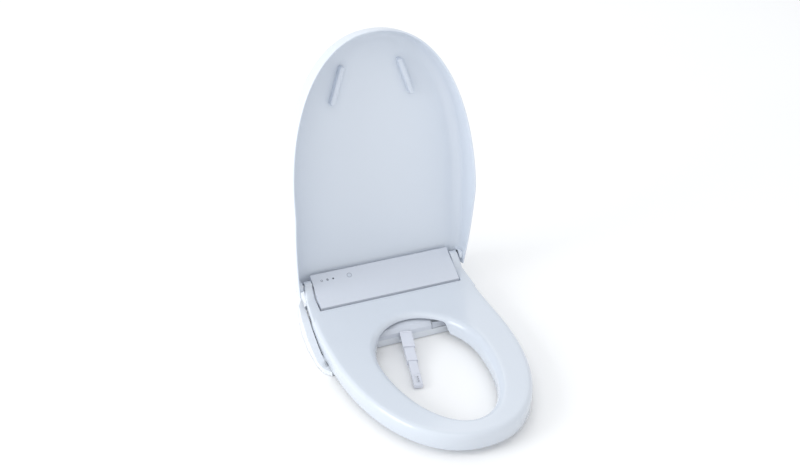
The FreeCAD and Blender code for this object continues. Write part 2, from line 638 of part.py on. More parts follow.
guide_block = box("guide_block", ("outer_wide + 7", "outer_out + 20", "outer_tall + 4.2"),
                  ("-outer_wide / 2 - 3.5", "13", "-outer_tall / 2 - 2.8"))
guide_bore = box("guide_bore", ("outer_wide + 0.8", "200", "outer_tall + 0.8"),
                 ("-outer_wide / 2 - 0.4", "0", "-outer_tall / 2 - 0.4"))
guide_window = box("guide_window", ("12", "2 * roller_radius + 4", "30"),
                   ("outer_wide / 2 - 2", "roller_y - roller_radius - 2", "-15"))
node("wand_guide", cut("wand_guide", guide_block, guide_bore, guide_window), WAND_PLACE)

stage_block = box("stage_block", ("outer_wide", "outer_out + outer_in", "outer_tall"),
                  ("-outer_wide / 2", "-outer_out", "-outer_tall / 2"))
stage_bore = box("stage_bore", ("inner_wide + 0.6", "outer_out + outer_in - 6", "inner_tall + 0.6"),
                 ("-inner_wide / 2 - 0.3", "-outer_out - 3", "-inner_tall / 2 - 0.3"))
node("wand_outer_stage", cut("wand_outer_stage", stage_block, stage_bore), WAND_PLACE)

tube = box("inner_tube", ("inner_wide", "inner_out + inner_in - tip_long", "inner_tall"),
           ("-inner_wide / 2", "tip_long - outer_out - inner_out", "-inner_tall / 2"))
tube_bore = box("inner_tube_bore", ("inner_wide - 4", "200", "inner_tall - 3.6"),
                ("2 - inner_wide / 2", "tip_long - outer_out - inner_out - 1", "1.8 - inner_tall / 2"))
node("wand_inner_stage", cut("wand_inner_stage", tube, tube_bore), WAND_PLACE)
tip = box("tip_block", ("inner_wide", "tip_long", "inner_tall"),
          ("-inner_wide / 2", "-outer_out - inner_out", "-inner_tall / 2"))
nozzles = [cylinder(f"nozzle_{index}", "nozzle_radius", "4",
                    ("1.5", f"{9 + 5 * index} - outer_out - inner_out", "inner_tall / 2 - 3"))
           for index in range(3)]
node("nozzle_tip", cut("nozzle_tip", tip, *nozzles), WAND_PLACE)

roller = cylinder("roller_drum", "roller_radius", "8",
                  ("outer_wide / 2 + roller_radius + 0.1", "roller_y", "-4.6"))
roller_shaft = cylinder("roller_shaft", "1.5", "9.4",
                        ("outer_wide / 2 + roller_radius + 0.1", "roller_y", "-4.6"))
node("wand_drive_roller", fuse("wand_drive_roller", roller, roller_shaft), WAND_PLACE)
motor_can = cylinder("motor_can", "9", "6.2", ("outer_wide / 2 + roller_radius + 0.1", "roller_y", "4"))
motor_hole = cylinder("motor_hole", "1.6", "8", ("outer_wide / 2 + roller_radius + 0.1", "roller_y", "3.5"))
motor_clear = box("motor_clear", ("20", "40", "10"), ("outer_wide / 2 - 16.2", "roller_y - 20", "-2.6"))
node("wand_motor", cut("wand_motor", motor_can, motor_hole, motor_clear), WAND_PLACE)

leaf = box("guard_leaf", ("guard_wide", "guard_long", "guard_thick"),
           ("-guard_wide / 2", "-guard_long - 3", "outer_tall / 2 + 0.5"))
cheeks = [box(f"guard_cheek_{side + 1}", ("1.2", "guard_long - 6", "5"),
              (f"{side} * (guard_wide / 2 - 0.6) - 0.6", "-guard_long - 3", "outer_tall / 2 - 3"))
          for side in (-1, 1)]
guard_barrel = cylinder("guard_barrel", "1.6", "guard_wide",
                        ("-guard_wide / 2", "-3", "outer_tall / 2 + 2.5"), ALONG_X)
node("nozzle_guard", fuse("nozzle_guard", leaf, guard_barrel, *cheeks), WAND_PLACE)

# ---------------------------------------------------------------- air path

duct = box("duct_outer", ("duct_wide", "-nose_y - 1", "duct_tall"), ("duct_x", "nose_y + 4", "duct_z"))
duct_bore = box("duct_bore", ("duct_wide - 2 * duct_wall", "300", "duct_tall - 2 * duct_wall"),
                ("duct_x + duct_wall", "nose_y - 20", "duct_z + duct_wall"))
node("dryer_duct", cut("dryer_duct", duct, duct_bore))
flap_leaf = box("flap_leaf", ("duct_wide - 1", "1.6", "duct_tall - 1"),
                ("duct_x + 0.5", "nose_y + 1.6", "duct_z + 0.5"))
flap_barrel = cylinder("flap_barrel", "0.9", "duct_wide - 1",
                       ("duct_x + 0.5", "nose_y + 1.6", "duct_z + duct_tall - 0.5"), ALONG_X)
node("dryer_flap", fuse("dryer_flap", flap_leaf, flap_barrel))
blower_outer = cylinder("blower_outer", "blower_radius", "blower_wide",
                        ("blower_x", "blower_y", "blower_z"), ALONG_X)
blower_hollow = cylinder("blower_hollow", "blower_radius - 2", "blower_wide - 4",
                         ("blower_x + 2", "blower_y", "blower_z"), ALONG_X)
blower_eye = cylinder("blower_eye", "10", "6", ("blower_x - 2", "blower_y", "blower_z"), ALONG_X)
blower_shaft_hole = cylinder("blower_shaft_hole", "2.2", "6",
                             ("blower_x + blower_wide - 4", "blower_y", "blower_z"), ALONG_X)
blower_exit = box("blower_exit", ("duct_wide - 2 * duct_wall - 6", "40", "duct_tall - 2 * duct_wall"),
                  ("blower_x + 2", "-30", "duct_z + duct_wall + 2"))
duct_room = box("blower_duct_room", ("60", "40", "duct_tall + 0.6"), ("40", "-36.7", "duct_z - 0.3"))
node("blower_housing", cut("blower_housing", blower_outer, blower_hollow, blower_eye,
                           blower_shaft_hole, blower_exit, duct_room))
node("blower_motor", cylinder("blower_motor", "15", "20",
                              ("blower_x + blower_wide + 0.4", "blower_y", "blower_z"), ALONG_X))

impeller = doc.addObject("PartDesign::Body", "blower_impeller")
disc_sketch = sketch_on(impeller, "impeller_disc")
disc_sketch.addGeometry(Part.Circle(Vector(), Vector(0, 0, 1), 19), False)
disc_sketch.addConstraint(Sketcher.Constraint("Coincident", 0, 3, -1, 1))
disc_size = disc_sketch.addConstraint(Sketcher.Constraint("Radius", 0, 19.0))
bind(disc_sketch, f"Constraints[{disc_size}]", "impeller_radius")
pad_of(impeller, "impeller_back", disc_sketch, "2")
doc.recompute()
blade_sketch = sketch_on(impeller, "impeller_blade_outline", "1")
rectangle(blade_sketch, "6", "1.4", "impeller_radius - 6.5", "-0.7")
blade = pad_of(impeller, "impeller_blade", blade_sketch, "blower_wide - 8")
doc.recompute()
ring = impeller.newObject("PartDesign::PolarPattern", "impeller_blades")
ring.Originals = [blade]
ring.Axis = (next(item for item in impeller.Origin.OriginFeatures if item.Role == "Z_Axis"), [""])
ring.Angle = 360
ring.Occurrences = 14
impeller.Tip = ring
doc.recompute()
facing_left = Rotation(Vector(0, 1, 0), -90)
node("blower_impeller", impeller,
     Placement(Vector(dim("blower_x") + dim("blower_wide") - 2.6, dim("blower_y"), dim("blower_z")),
               facing_left))

# ---------------------------------------------------------------- inside the unit

INNER_BLOCKS = {
    "control_board": (("92", "1.6", "66"), ("-26", "51", "16")),
    "power_supply": (("46", "42", "24"), ("80", "2", "59")),
    "water_heater": (("62", "42", "56"), ("-26", "4", "14.6")),
    "solenoid_valve": (("22", "28", "26"), ("-121", "8", "14.6")),
}
for name, (size, at) in INNER_BLOCKS.items():
    node(name, box(name, size, at))
node("indicator_board", box("indicator_board", ("64", "24", "1.6"), ("-122", "-78", "52"),
                            Rotation(Vector(1, 0, 0), math.degrees(PANEL_TILT))))
node("flow_selector", cylinder("flow_selector", "11", "30", ("-62", "17", "14.2")))
node("water_pump", cylinder("water_pump", "12", "44", ("-121", "22", "56"), ALONG_X))
node("inlet_hose", cylinder("inlet_hose", "3.5", "73", ("-99", "33", "22"), ALONG_X))

stub = cylinder("inlet_stub", "inlet_radius", "inlet_long", ("inlet_x", "case_rear_y", "inlet_z"), ALONG_Y)
stem = cylinder("inlet_stem", "6", "case_rear_y - 36", ("inlet_x", "36", "inlet_z"), ALONG_Y)
stub_bore = cylinder("inlet_bore", "4", "60", ("inlet_x", "30", "inlet_z"), ALONG_Y)
node("water_inlet", cut("water_inlet", fuse("inlet_body", stub, stem), stub_bore))
gland_flange = cylinder("gland_flange", "8", "6", ("110", "case_rear_y", "inlet_z"), ALONG_Y)
gland_stem = cylinder("gland_stem", "5", "8", ("110", "case_rear_y - 8", "inlet_z"), ALONG_Y)
gland_bore = cylinder("gland_bore", "3", "40", ("110", "case_rear_y - 20", "inlet_z"), ALONG_Y)
node("cord_gland", cut("cord_gland", fuse("gland_body", gland_flange, gland_stem), gland_bore))

grip = cylinder("knob_grip", "9", "7", ("case_half + 0.5", "30", "25"), ALONG_X)
knob_stem = cylinder("knob_stem", "5.9", "16", ("case_half - 15", "30", "25"), ALONG_X)
flats = [box(f"knob_flat_{at}", ("6", "5", "20"), ("case_half + 2", str(at), "15")) for at in (20, 35)]
node("drain_knob", cut("drain_knob", fuse("knob_body", grip, knob_stem), *flats))
node("release_button", box("release_button", ("14", "17.2", "9.2"), ("case_half - 11", "12.4", "34.4")))
node("deodorizer_cartridge", box("deodorizer_cartridge", ("38", "37.2", "9.7"),
                                 ("-case_half - 0.5", "4.4", "72.9")))

# ---------------------------------------------------------------- checks and export

doc.recompute()
for thing in doc.Objects:
    if "Invalid" in thing.State or "Error" in thing.State:
        raise RuntimeError(f"{thing.Label} failed to build: {thing.State}")
for thing in nodes:
    if thing.Shape.isNull() or not thing.Shape.isValid():
        raise RuntimeError(f"{thing.Label} has no valid shape")

os.makedirs("parts", exist_ok=True)
for thing in nodes:
    thing.Shape.exportStep(f"parts/{thing.Label}.step")
    size = thing.Shape.BoundBox
    print(f"{thing.Label:28s} {len(thing.Shape.Solids)} solid(s) {thing.Shape.Volume / 1000:9.1f} cm3 "
          f"x {size.XMin:.1f}..{size.XMax:.1f} y {size.YMin:.1f}..{size.YMax:.1f} "
          f"z {size.ZMin:.1f}..{size.ZMax:.1f}")
print(len(nodes), "sub-parts")
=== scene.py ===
"""Electric bidet seat: its visible shells, finishes, studio and camera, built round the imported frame."""

import json
import logging
import math
from dataclasses import dataclass
from enum import Enum
from typing import Sequence

import bmesh
import bpy
from mathutils import Matrix, Vector


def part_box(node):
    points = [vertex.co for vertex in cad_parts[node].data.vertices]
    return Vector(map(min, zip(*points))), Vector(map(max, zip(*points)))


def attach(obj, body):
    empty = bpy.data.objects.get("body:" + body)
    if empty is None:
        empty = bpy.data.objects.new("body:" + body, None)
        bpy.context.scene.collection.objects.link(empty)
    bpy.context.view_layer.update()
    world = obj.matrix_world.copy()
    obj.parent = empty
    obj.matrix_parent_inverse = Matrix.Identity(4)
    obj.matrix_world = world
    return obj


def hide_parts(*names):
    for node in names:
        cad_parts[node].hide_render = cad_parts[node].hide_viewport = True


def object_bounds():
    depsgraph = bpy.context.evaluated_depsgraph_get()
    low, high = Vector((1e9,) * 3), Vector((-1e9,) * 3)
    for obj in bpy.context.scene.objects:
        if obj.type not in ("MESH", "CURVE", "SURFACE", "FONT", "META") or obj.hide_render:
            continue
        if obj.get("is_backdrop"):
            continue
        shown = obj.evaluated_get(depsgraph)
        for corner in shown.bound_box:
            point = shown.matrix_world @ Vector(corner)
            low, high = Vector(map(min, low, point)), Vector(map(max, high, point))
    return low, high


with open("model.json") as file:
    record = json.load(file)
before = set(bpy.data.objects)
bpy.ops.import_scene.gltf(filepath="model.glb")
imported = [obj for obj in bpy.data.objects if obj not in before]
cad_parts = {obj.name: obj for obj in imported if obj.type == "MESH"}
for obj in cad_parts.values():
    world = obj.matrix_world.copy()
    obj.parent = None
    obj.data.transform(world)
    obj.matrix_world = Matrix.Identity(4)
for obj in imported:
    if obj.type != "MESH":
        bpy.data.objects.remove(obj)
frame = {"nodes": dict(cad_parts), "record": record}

log = logging.getLogger("bidet_seat")
MM = 0.001
HARD_EDGE = math.radians(28.0)
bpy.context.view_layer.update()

Colour = tuple[float, float, float]


# ---------------------------------------------------------------- shader tools


@dataclass(frozen=True)
class Field:
    """A number that varies over a surface; arithmetic on it adds Math nodes to its tree."""

    tree: bpy.types.NodeTree
    out: bpy.types.NodeSocket

    def combine(self, operation: str, other: "Field | float", swap: bool = False) -> "Field":
        """Join this field with another field or number.

        Args:
            operation: name of the Math node's operation.
            other: the second value.
            swap: whether the other value comes first.

        Returns:
            The result as a new field.
        """
        math_node = self.tree.nodes.new("ShaderNodeMath")
        math_node.operation = operation
        mine, theirs = (1, 0) if swap else (0, 1)
        self.tree.links.new(self.out, math_node.inputs[mine])
        if isinstance(other, Field):
            self.tree.links.new(other.out, math_node.inputs[theirs])
        else:
            math_node.inputs[theirs].default_value = float(other)
        return Field(self.tree, math_node.outputs[0])

    def __add__(self, other: "Field | float") -> "Field":
        """This field plus another value."""
        return self.combine("ADD", other)

    def __radd__(self, other: float) -> "Field":
        """A number plus this field."""
        return self.combine("ADD", other, swap=True)

    def __sub__(self, other: "Field | float") -> "Field":
        """This field less another value."""
        return self.combine("SUBTRACT", other)

    def __rsub__(self, other: float) -> "Field":
        """A number less this field."""
        return self.combine("SUBTRACT", other, swap=True)

    def __mul__(self, other: "Field | float") -> "Field":
        """This field times another value."""
        return self.combine("MULTIPLY", other)

    def __rmul__(self, other: float) -> "Field":
        """A number times this field."""
        return self.combine("MULTIPLY", other, swap=True)

    def __truediv__(self, other: "Field | float") -> "Field":
        """This field divided by another value."""
        return self.combine("DIVIDE", other)

    def __gt__(self, other: "Field | float") -> "Field":
        """One where this field is the larger, and zero elsewhere."""
        return self.combine("GREATER_THAN", other)

    def power(self, exponent: float) -> "Field":
        """This field raised to a power."""
        return self.combine("POWER", exponent)

    def clamped(self) -> "Field":
        """This field kept between zero and one."""
        held = self + 0.0
        held.out.node.use_clamp = True
        return held


class Recipe:
    """The node tree of one finish while it is being written."""

    def __init__(self, name: str) -> None:
        """Start an empty material.

        Args:
            name: the material's name.
        """
        self.material = bpy.data.materials.new(name)
        self.material.use_nodes = True
        self.tree = self.material.node_tree
        self.tree.nodes.clear()
        self.surface = self.add("ShaderNodeBsdfPrincipled")
        output = self.add("ShaderNodeOutputMaterial")
        self.tree.links.new(self.surface.outputs["BSDF"], output.inputs["Surface"])
        self.place = self.add("ShaderNodeTexCoord").outputs["Object"]

    def add(self, kind: str, settings: dict | None = None, inputs: dict | None = None) -> bpy.types.Node:
        """Add one node.

        Args:
            kind: the node's type.
            settings: properties, which are set first.
            inputs: values or links for its sockets, by name or number.

        Returns:
            The new node.
        """
        made = self.tree.nodes.new(kind)
        for key, value in (settings or {}).items():
            setattr(made, key, value)
        for key, value in (inputs or {}).items():
            source = value.out if isinstance(value, Field) else value
            if isinstance(source, bpy.types.NodeSocket):
                self.tree.links.new(source, made.inputs[key])
            else:
                made.inputs[key].default_value = source
        return made

    def noise(self, scale: float, detail: float = 3.0, stretch: Sequence[float] = (1.0, 1.0, 1.0)) -> Field:
        """Smooth noise over the object.

        Args:
            scale: patches per metre.
            detail: number of finer layers.
            stretch: how much faster it varies along each axis.

        Returns:
            The noise, near one half.
        """
        spread = self.add("ShaderNodeMapping", {"vector_type": "POINT"},
                          {"Vector": self.place, "Scale": tuple(stretch)})
        made = self.add("ShaderNodeTexNoise", {"noise_dimensions": "3D"},
                        {"Vector": spread.outputs[0], "Scale": scale, "Detail": detail})
        return Field(self.tree, made.outputs[0])

    def cells(self, scale: float) -> Field:
        """Distance to the nearest cell centre of a Voronoi pattern, for speckle and dimples."""
        made = self.add("ShaderNodeTexVoronoi", {"feature": "F1"}, {"Vector": self.place, "Scale": scale})
        return Field(self.tree, made.outputs["Distance"])

    def axis(self, name: str) -> Field:
        """One coordinate of the surface point, in metres."""
        split = self.add("ShaderNodeSeparateXYZ", None, {0: self.place})
        return Field(self.tree, split.outputs[name])

    def blend(self, share: Field, low: Colour, high: Colour) -> bpy.types.NodeSocket:
        """A colour between two others.

        Args:
            share: how much of the second colour.
            low: the first colour.
            high: the second colour.

        Returns:
            The mixed colour's socket.
        """
        made = self.add("ShaderNodeMix", {"data_type": "RGBA", "blend_type": "MIX"},
                        {0: share, 6: (*low, 1.0), 7: (*high, 1.0)})
        return made.outputs[2]

    def relief(self, height: Field, distance: float, strength: float = 1.0) -> None:
        """Press a height field into the surface.

        Args:
            height: the field.
            distance: how deep it goes, in metres.
            strength: how much of it shows.
        """
        bump = self.add("ShaderNodeBump", None,
                        {"Height": height, "Distance": distance, "Strength": strength})
        self.tree.links.new(bump.outputs[0], self.surface.inputs["Normal"])

    def feed(self, name: str, value: "Field | bpy.types.NodeSocket | float | tuple") -> None:
        """Give one socket of the surface a constant, or link a varying value to it."""
        source = value.out if isinstance(value, Field) else value
        if isinstance(source, bpy.types.NodeSocket):
            self.tree.links.new(source, self.surface.inputs[name])
        else:
            self.surface.inputs[name].default_value = source


def lighter(colour: Colour, share: float) -> Colour:
    """A colour scaled by a share and kept below one."""
    return tuple(min(1.0, part * share) for part in colour)


@dataclass(frozen=True)
class MouldedPlastic:
    """Injection-moulded plastic: faint clouding, an orange-peel skin and rubbed patches."""

    name: str
    colour: Colour
    roughness: float = 0.24
    coat: float = 0.35
    grain: float = 0.000004
    grain_scale: float = 320.0
    variation: float = 0.012

    def make(self) -> bpy.types.Material:
        """Write the node tree and return the material."""
        recipe = Recipe(self.name)
        cloud = recipe.noise(7.0, 2.0)
        flow = recipe.noise(38.0, 4.0, (1.0, 0.35, 1.0))
        speck = (recipe.cells(1400.0) * 1.3).clamped()
        share = (cloud * 0.55 + flow * 0.3 + speck * 0.15).clamped()
        low = lighter(self.colour, 1.0 - self.variation)
        high = lighter(self.colour, 1.0 + self.variation)
        recipe.feed("Base Color", recipe.blend(share, low, high))
        rubbed = recipe.noise(16.0, 5.0)
        recipe.feed("Roughness", self.roughness * 0.9 + rubbed * self.roughness * 0.2)
        recipe.feed("Coat Weight", self.coat)
        recipe.feed("Coat Roughness", 0.12)
        recipe.feed("IOR", 1.5)
        skin = recipe.noise(self.grain_scale, 2.0)
        recipe.relief(skin, self.grain, 0.6)
        return recipe.material


@dataclass(frozen=True)
class SoftRubber:
    """Matt elastomer with a fine stipple and dusty edges."""

    name: str
    colour: Colour
    roughness: float = 0.55

    def make(self) -> bpy.types.Material:
        """Write the node tree and return the material."""
        recipe = Recipe(self.name)
        dust = recipe.noise(60.0, 5.0)
        pits = recipe.cells(1800.0)
        share = (dust * 0.7 + pits * 0.3).clamped()
        recipe.feed("Base Color", recipe.blend(share, lighter(self.colour, 0.92), lighter(self.colour, 1.07)))
        recipe.feed("Roughness", self.roughness + (dust - 0.5) * 0.25)
        recipe.relief(pits, 0.00005, 0.5)
        return recipe.material


@dataclass(frozen=True)
class TurnedMetal:
    """Bare metal with fine drawn lines and a slightly stained tone."""

    name: str
    colour: Colour
    roughness: float = 0.3
    stretch: Colour = (0.05, 1.0, 1.0)

    def make(self) -> bpy.types.Material:
        """Write the node tree and return the material."""
        recipe = Recipe(self.name)
        lines = recipe.noise(2400.0, 2.0, self.stretch)
        stain = recipe.noise(45.0, 4.0)
        share = (lines * 0.5 + stain * 0.5).clamped()
        recipe.feed("Base Color", recipe.blend(share, lighter(self.colour, 0.86), lighter(self.colour, 1.08)))
        recipe.feed("Metallic", 1.0)
        recipe.feed("Roughness", self.roughness * 0.75 + lines * self.roughness * 0.5)
        recipe.relief(lines, 0.00002, 0.5)
        return recipe.material


@dataclass(frozen=True)
class PrintedLens:
    """A small glossy window with a printed ring and dot, drawn by distance from its middle."""

    name: str
    colour: Colour
    ring: Colour
    centre: Colour
    inner: float
    outer: float
    dot: float = 0.0

    def make(self) -> bpy.types.Material:
        """Write the node tree and return the material."""
        recipe = Recipe(self.name)
        gap = recipe.axis("X") - self.centre[0]
        rise = recipe.axis("Z") - self.centre[2]
        depth = recipe.axis("Y") - self.centre[1]
        reach = (gap * gap + rise * rise + depth * depth).power(0.5)
        band = (reach > self.inner) * (self.outer - reach > 0.0) + (self.dot - reach > 0.0)
        haze = recipe.noise(300.0, 3.0)
        share = (band * 0.94 + haze * 0.06).clamped()
        recipe.feed("Base Color", recipe.blend(share, self.colour, self.ring))
        recipe.feed("Roughness", 0.12 + haze * 0.1)
        recipe.feed("Coat Weight", 0.6)
        return recipe.material


@dataclass(frozen=True)
class CircuitBoard:
    """Solder mask over a grid of tracks, with round tinned pads."""

    name: str = "board_green"
    mask: Colour = (0.02, 0.16, 0.07)
    track: Colour = (0.05, 0.27, 0.12)

    def make(self) -> bpy.types.Material:
        """Write the node tree and return the material."""
        recipe = Recipe(self.name)
        wave = recipe.add("ShaderNodeTexWave", {"wave_type": "BANDS", "bands_direction": "DIAGONAL"},
                          {"Vector": recipe.place, "Scale": 160.0, "Distortion": 3.0, "Detail": 1.0})
        tracks = Field(recipe.tree, wave.outputs[1]) > 0.6
        pads = 0.22 - recipe.cells(260.0) > 0.0
        recipe.feed("Base Color", recipe.blend((tracks * 0.8 + pads * 0.2).clamped(), self.mask, self.track))
        recipe.feed("Roughness", 0.32 + recipe.noise(90.0) * 0.12)
        recipe.feed("Metallic", pads * 0.8)
        recipe.relief(tracks, 0.00004, 0.7)
        return recipe.material


@dataclass(frozen=True)
class PrintedFoil:
    """Metal foil with the crossed lines of a printed heater."""

    name: str = "heater_foil"
    metal: Colour = (0.72, 0.73, 0.75)
    trace: Colour = (0.45, 0.30, 0.18)

    def make(self) -> bpy.types.Material:
        """Write the node tree and return the material."""
        recipe = Recipe(self.name)
        wave = recipe.add("ShaderNodeTexWave", {"wave_type": "BANDS", "bands_direction": "Y"},
                          {"Vector": recipe.place, "Scale": 30.0, "Distortion": 1.5, "Detail": 1.0})
        trace = Field(recipe.tree, wave.outputs[1]) > 0.8
        crease = recipe.noise(120.0, 5.0)
        recipe.feed("Base Color", recipe.blend(trace, self.metal, self.trace))
        recipe.feed("Metallic", 0.9)
        recipe.feed("Roughness", 0.25 + crease * 0.25)
        recipe.relief(crease, 0.0002, 0.5)
        return recipe.material


@dataclass(frozen=True)
class FilterFelt:
    """Grey carbon filter: a coarse open weave."""

    name: str = "filter_grey"
    colour: Colour = (0.30, 0.31, 0.33)

    def make(self) -> bpy.types.Material:
        """Write the node tree and return the material."""
        recipe = Recipe(self.name)
        mesh = recipe.cells(700.0)
        tone = recipe.noise(80.0, 4.0)
        recipe.feed("Base Color", recipe.blend((mesh * 0.8 + tone * 0.2).clamped(),
                                               lighter(self.colour, 0.6), lighter(self.colour, 1.3)))
        recipe.feed("Roughness", 0.75 + tone * 0.15)
        recipe.relief(mesh, 0.0003, 0.8)
        return recipe.material


FINISHES = {
    "lid_plastic": MouldedPlastic("lid_plastic", (0.66, 0.708, 0.78), 0.31, 0.2),
    "seat_plastic": MouldedPlastic("seat_plastic", (0.616, 0.66, 0.725), 0.24, 0.25),
    "cover_plastic": MouldedPlastic("cover_plastic", (0.602, 0.638, 0.71), 0.31, 0.15, 0.000006, 420.0),
    "case_plastic": MouldedPlastic("case_plastic", (0.72, 0.757, 0.81), 0.31, 0.15, 0.000006, 420.0),
    "wand_plastic": MouldedPlastic("wand_plastic", (0.662, 0.685, 0.76), 0.22, 0.3),
    "buffer_rubber": SoftRubber("buffer_rubber", (0.64, 0.69, 0.77), 0.5),
    "foot_rubber": SoftRubber("foot_rubber", (0.62, 0.65, 0.70), 0.6),
    "stainless": TurnedMetal("stainless", (0.62, 0.63, 0.65)),
    "board_green": CircuitBoard(),
    "grey_plastic": MouldedPlastic("grey_plastic", (0.36, 0.38, 0.41), 0.4, 0.1, 0.00004, 1500.0, 0.06),
    "black_plastic": MouldedPlastic("black_plastic", (0.03, 0.032, 0.035), 0.4, 0.1, 0.00004, 1500.0, 0.2),
    "heater_foil": PrintedFoil(),
    "hose_clear": MouldedPlastic("hose_clear", (0.62, 0.66, 0.68), 0.18, 0.5),
    "brass": TurnedMetal("brass", (0.80, 0.58, 0.28)),
    "filter_grey": FilterFelt(),
    "lens_smoke": MouldedPlastic("lens_smoke", (0.05, 0.055, 0.065), 0.12, 0.6),
    "sensor_smoke": MouldedPlastic("sensor_smoke", (0.10, 0.11, 0.125), 0.12, 0.6),
}


class Mark(Enum):
    """The print on each window: its node, and the ring's inner and outer radius and dot in millimetres."""

    POWER = ("indicator_lens_power", 1.45, 2.15, 0.0)
    SEAT = ("indicator_lens_seat", 1.45, 2.25, 0.85)
    ENERGY = ("indicator_lens_energy", 0.0, 1.7, 1.7)
    SENSOR = ("remote_sensor_window", 3.3, 4.9, 0.0)


class FinishRack:
    """Makes each finish once and puts it on pieces and on the frame's own nodes."""

    def __init__(self) -> None:
        """Start with nothing made."""
        self.made: dict[str, bpy.types.Material] = {}

    def get(self, name: str) -> bpy.types.Material:
        """The material of a named finish."""
        if name not in self.made:
            self.made[name] = FINISHES[name].make()
        return self.made[name]

    def dress(self, piece: bpy.types.Object, name: str) -> None:
        """Give a piece one finish all over."""
        piece.data.materials.clear()
        piece.data.materials.append(self.get(name))

    def dress_frame(self) -> None:
        """Give every node of the frame the finish of its material slot."""
        slots = {row["node"]: row["material_slot"] for row in frame["record"]["subparts"]}
        for name, piece in frame["nodes"].items():
            slot = slots.get(name, "case_plastic")
            for place in piece.material_slots:
                place.material = self.get(slot)
            if not piece.material_slots:
                piece.data.materials.append(self.get(slot))
        for mark in Mark:
            self.print_mark(mark)

    def print_mark(self, mark: Mark) -> None:
        """Give one window its printed face.

        Args:
            mark: which window, and what is printed on it.
        """
        node_name, inner, outer, dot = mark.value
        low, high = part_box(node_name)
        middle = (low + high) / 2 + Vector((0.0, -0.48, 0.88)) * 0.0014
        pale = (0.55, 0.60, 0.68) if mark is Mark.SENSOR else (0.60, 0.65, 0.74)
        ink = (0.40, 0.43, 0.50) if mark is Mark.SENSOR else (0.045, 0.05, 0.07)
        lens = PrintedLens(node_name + "_face", pale, ink, tuple(middle), inner * MM, outer * MM, dot * MM)
        material = lens.make()
        for place in frame["nodes"][node_name].material_slots:
            place.material = material


# ---------------------------------------------------------------- mesh tools


def to_piece(shape: bmesh.types.BMesh, name: str, sharp: float = 38.0,
             turned: bool = True) -> bpy.types.Object:
    """Close a bmesh into a smooth-shaded object.

    Args:
        shape: the finished bmesh, in metres; it is freed.
        name: the piece's name.
        sharp: the angle in degrees above which an edge stays sharp.
        turned: turn the faces outwards; a copy of a frame node has them right already.

    Returns:
        The new object, at the origin.
    """
    bmesh.ops.remove_doubles(shape, verts=shape.verts, dist=1e-6)
    if turned:
        bmesh.ops.recalc_face_normals(shape, faces=shape.faces)
    for face in shape.faces:
        face.smooth = True
    mesh = bpy.data.meshes.new(name)
    shape.to_mesh(mesh)
    shape.free()
    mesh.set_sharp_from_angle(angle=math.radians(sharp))
    piece = bpy.data.objects.new(name, mesh)
    bpy.context.scene.collection.objects.link(piece)
    return piece


def add_modifier(piece: bpy.types.Object, kind: str, **settings: object) -> bpy.types.Modifier:
    """Put a modifier on a piece.

    Args:
        piece: the piece.
        kind: the modifier's type.
        settings: its properties.

    Returns:
        The modifier.
    """
    made = piece.modifiers.new(kind.lower(), kind)
    for key, value in settings.items():
        setattr(made, key, value)
    return made


def sweep(shape: bmesh.types.BMesh, rows: Sequence[Sequence[Vector]], closed: bool = False) -> list[list]:
    """Pull one row of points through the places of the others.

    Args:
        shape: the bmesh to build in.
        rows: rows of equally many points, in metres.
        closed: whether each row is a ring.

    Returns:
        The vertices, row by row.
    """
    rank = shape.verts.layers.int.get("rank") or shape.verts.layers.int.new("rank")
    line = [shape.verts.new(point) for point in rows[0]]
    for place, vertex in enumerate(line):
        vertex[rank] = place
    pairs = list(zip(line, line[1:] + line[:1] if closed else line[1:]))
    edges = [shape.edges.new(pair) for pair in pairs]
    grid = [line]
    for row in rows[1:]:
        grown = bmesh.ops.extrude_edge_only(shape, edges=edges)["geom"]
        fresh = {item for item in grown if isinstance(item, bmesh.types.BMVert)}
        for vertex in fresh:
            vertex.co = row[vertex[rank]]
        edges = [item for item in grown if isinstance(item, bmesh.types.BMEdge)
                 and item.verts[0] in fresh and item.verts[1] in fresh]
        grid.append(sorted(fresh, key=lambda vertex: vertex[rank]))
    return grid


def cap(shape: bmesh.types.BMesh, ring: Sequence, border: float = 0.0) -> None:
    """Close a flat ring of vertices, with a narrow border that keeps the middle's shading flat."""
    face = shape.faces.new(ring)
    if border:
        shape.normal_update()
        bmesh.ops.inset_region(shape, faces=[face], thickness=border, use_even_offset=True)


def slab(shape: bmesh.types.BMesh, low: Sequence[float], high: Sequence[float], radius: float,
         segments: int = 3) -> list:
    """A block between two corners with rounded edges.

    Args:
        shape: the bmesh to build in.
        low: the lowest corner, in metres.
        high: the highest corner.
        radius: the edges' rounding.
        segments: steps in the rounding.

    Returns:
        The block's vertices.
    """
    before = set(shape.verts)
    size = [b - a for a, b in zip(low, high)]
    middle = [(a + b) / 2 for a, b in zip(low, high)]
    made = bmesh.ops.create_cube(shape, size=1.0)["verts"]
    bmesh.ops.scale(shape, verts=made, vec=size)
    bmesh.ops.translate(shape, verts=made, vec=middle)
    edges = list({edge for vertex in made for edge in vertex.link_edges})
    bmesh.ops.bevel(shape, geom=edges, offset=radius, segments=segments, profile=0.5, affect="EDGES",
                    material=-1, clamp_overlap=True)
    return [vertex for vertex in shape.verts if vertex not in before]


